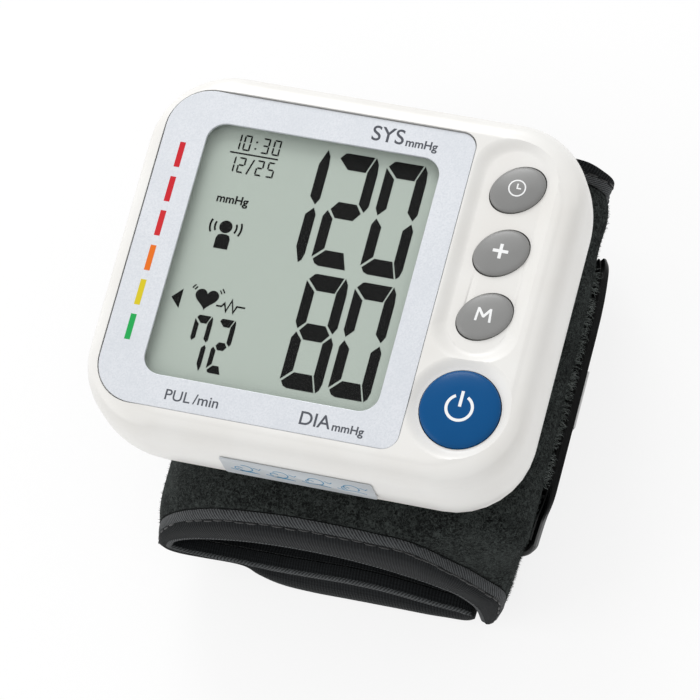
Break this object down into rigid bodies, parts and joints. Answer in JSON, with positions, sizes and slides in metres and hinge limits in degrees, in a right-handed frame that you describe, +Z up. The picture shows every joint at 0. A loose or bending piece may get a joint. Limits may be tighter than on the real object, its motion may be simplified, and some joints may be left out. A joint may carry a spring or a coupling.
{
  "type": "wrist blood pressure monitor",
  "caption": "Wrist blood pressure monitor: square white case with a display and push buttons on a soft wrap-around cuff that closes with a hook strap.",
  "frame": {"origin": "on the table, below the middle of the case", "axes": "+Z up out of the display, +X to the right of the display, +Y to its top"},
  "size_m": [0.0771, 0.0746, 0.0627],
  "materials": {
    "casing": "satin white ABS",
    "panel": "silver-grey printed face plate",
    "lens": "clear acrylic window",
    "lcd": "grey-green liquid crystal display",
    "white_plastic": "moulded white",
    "rubber": "conductive rubber",
    "board": "solder-masked board",
    "grey_button": "satin grey",
    "blue_button": "satin blue",
    "black_plastic": "moulded black",
    "steel": "zinc-plated steel",
    "brass": "turned brass",
    "tube": "translucent silicone",
    "battery": "wrapped cell",
    "sticker": "printed film",
    "velour": "brushed loop velour",
    "nylon": "ribbed nylon",
    "bladder": "welded film",
    "former": "bent sheet",
    "foam": "soft foam",
    "strap": "woven strap",
    "hook": "hook tape",
    "label": "woven label, blank"
  },
  "bodies": {
    "monitor": {"front_casing": "casing", "rear_casing": "casing", "display_panel": "panel", "window_lens": "lens", "lcd_panel": "lcd", "lcd_frame": "white_plastic", "zebra_strip": "rubber", "main_board": "board", "memory_switch": "black_plastic", "plus_switch": "black_plastic", "clock_switch": "black_plastic", "power_switch": "black_plastic", "pressure_sensor": "black_plastic", "buzzer": "black_plastic", "case_screw_1": "steel", "case_screw_2": "steel", "case_screw_3": "steel", "case_screw_4": "steel", "battery_1": "battery", "battery_2": "battery", "battery_bridge": "steel", "battery_plate": "steel", "battery_spring": "steel", "pump_motor": "steel", "pump_head": "black_plastic", "valve_body": "steel", "air_tube": "tube", "bladder_nozzle": "former", "instruction_sticker": "sticker", "velour_upper": "velour", "lining_upper": "nylon", "near_band_upper": "nylon", "far_band_upper": "nylon", "cuff_former": "former", "air_bladder": "bladder", "cuff_screw_1": "steel", "cuff_screw_2": "steel"},
    "memory_key": {"memory_button": "grey_button", "memory_switch_stem": "brass"},
    "plus_key": {"plus_button": "grey_button", "plus_switch_stem": "brass"},
    "clock_key": {"clock_button": "grey_button", "clock_switch_stem": "brass"},
    "power_key": {"power_button": "blue_button", "power_switch_stem": "brass"},
    "cover": {"battery_cover": "casing"},
    "pump_rotor": {"pump_shaft": "steel"},
    "armature": {"valve_armature": "brass"},
    "flap": {"velour_flap": "velour", "lining_flap": "nylon", "near_band_flap": "nylon", "far_band_flap": "nylon", "flap_foam": "foam", "strap_base": "strap"},
    "strap": {"hook_strap": "strap", "hook_patch": "hook", "strap_label": "label"}
  },
  "joints": [
    {"name": "memory_press", "type": "slide", "parent": "monitor", "child": "memory_key", "axis": [0, 0, -1], "range_m": [0, 0.0004], "stiffness_N_per_m": 2500, "springref_m": -0.0003},
    {"name": "plus_press", "type": "slide", "parent": "monitor", "child": "plus_key", "axis": [0, 0, -1], "range_m": [0, 0.0004], "stiffness_N_per_m": 2500, "springref_m": -0.0003},
    {"name": "clock_press", "type": "slide", "parent": "monitor", "child": "clock_key", "axis": [0, 0, -1], "range_m": [0, 0.0004], "stiffness_N_per_m": 2500, "springref_m": -0.0003},
    {"name": "power_press", "type": "slide", "parent": "monitor", "child": "power_key", "axis": [0, 0, -1], "range_m": [0, 0.0004], "stiffness_N_per_m": 2500, "springref_m": -0.0003},
    {"name": "cover_slide", "type": "slide", "parent": "monitor", "child": "cover", "axis": [0, 1, 0], "range_m": [0, 0.025]},
    {"name": "pump_spin", "type": "hinge", "parent": "monitor", "child": "pump_rotor", "pos_m": [-0.0126, -0.0175, 0.04585], "axis": [1, 0, 0], "continuous": true},
    {"name": "valve_stroke", "type": "slide", "parent": "monitor", "child": "armature", "axis": [-1, 0, 0], "range_m": [0, 0.0008], "stiffness_N_per_m": 300, "springref_m": -0.0006},
    {"name": "flap_open", "type": "hinge", "parent": "monitor", "child": "flap", "pos_m": [-0.0327, 0, 0.01305], "axis": [0, 1, 0], "range_deg": [0, 75]},
    {"name": "strap_peel", "type": "hinge", "parent": "flap", "child": "strap", "pos_m": [0.03315, 0, 0.00895], "axis": [0, 1, 0], "range_deg": [0, 100]}
  ]
}
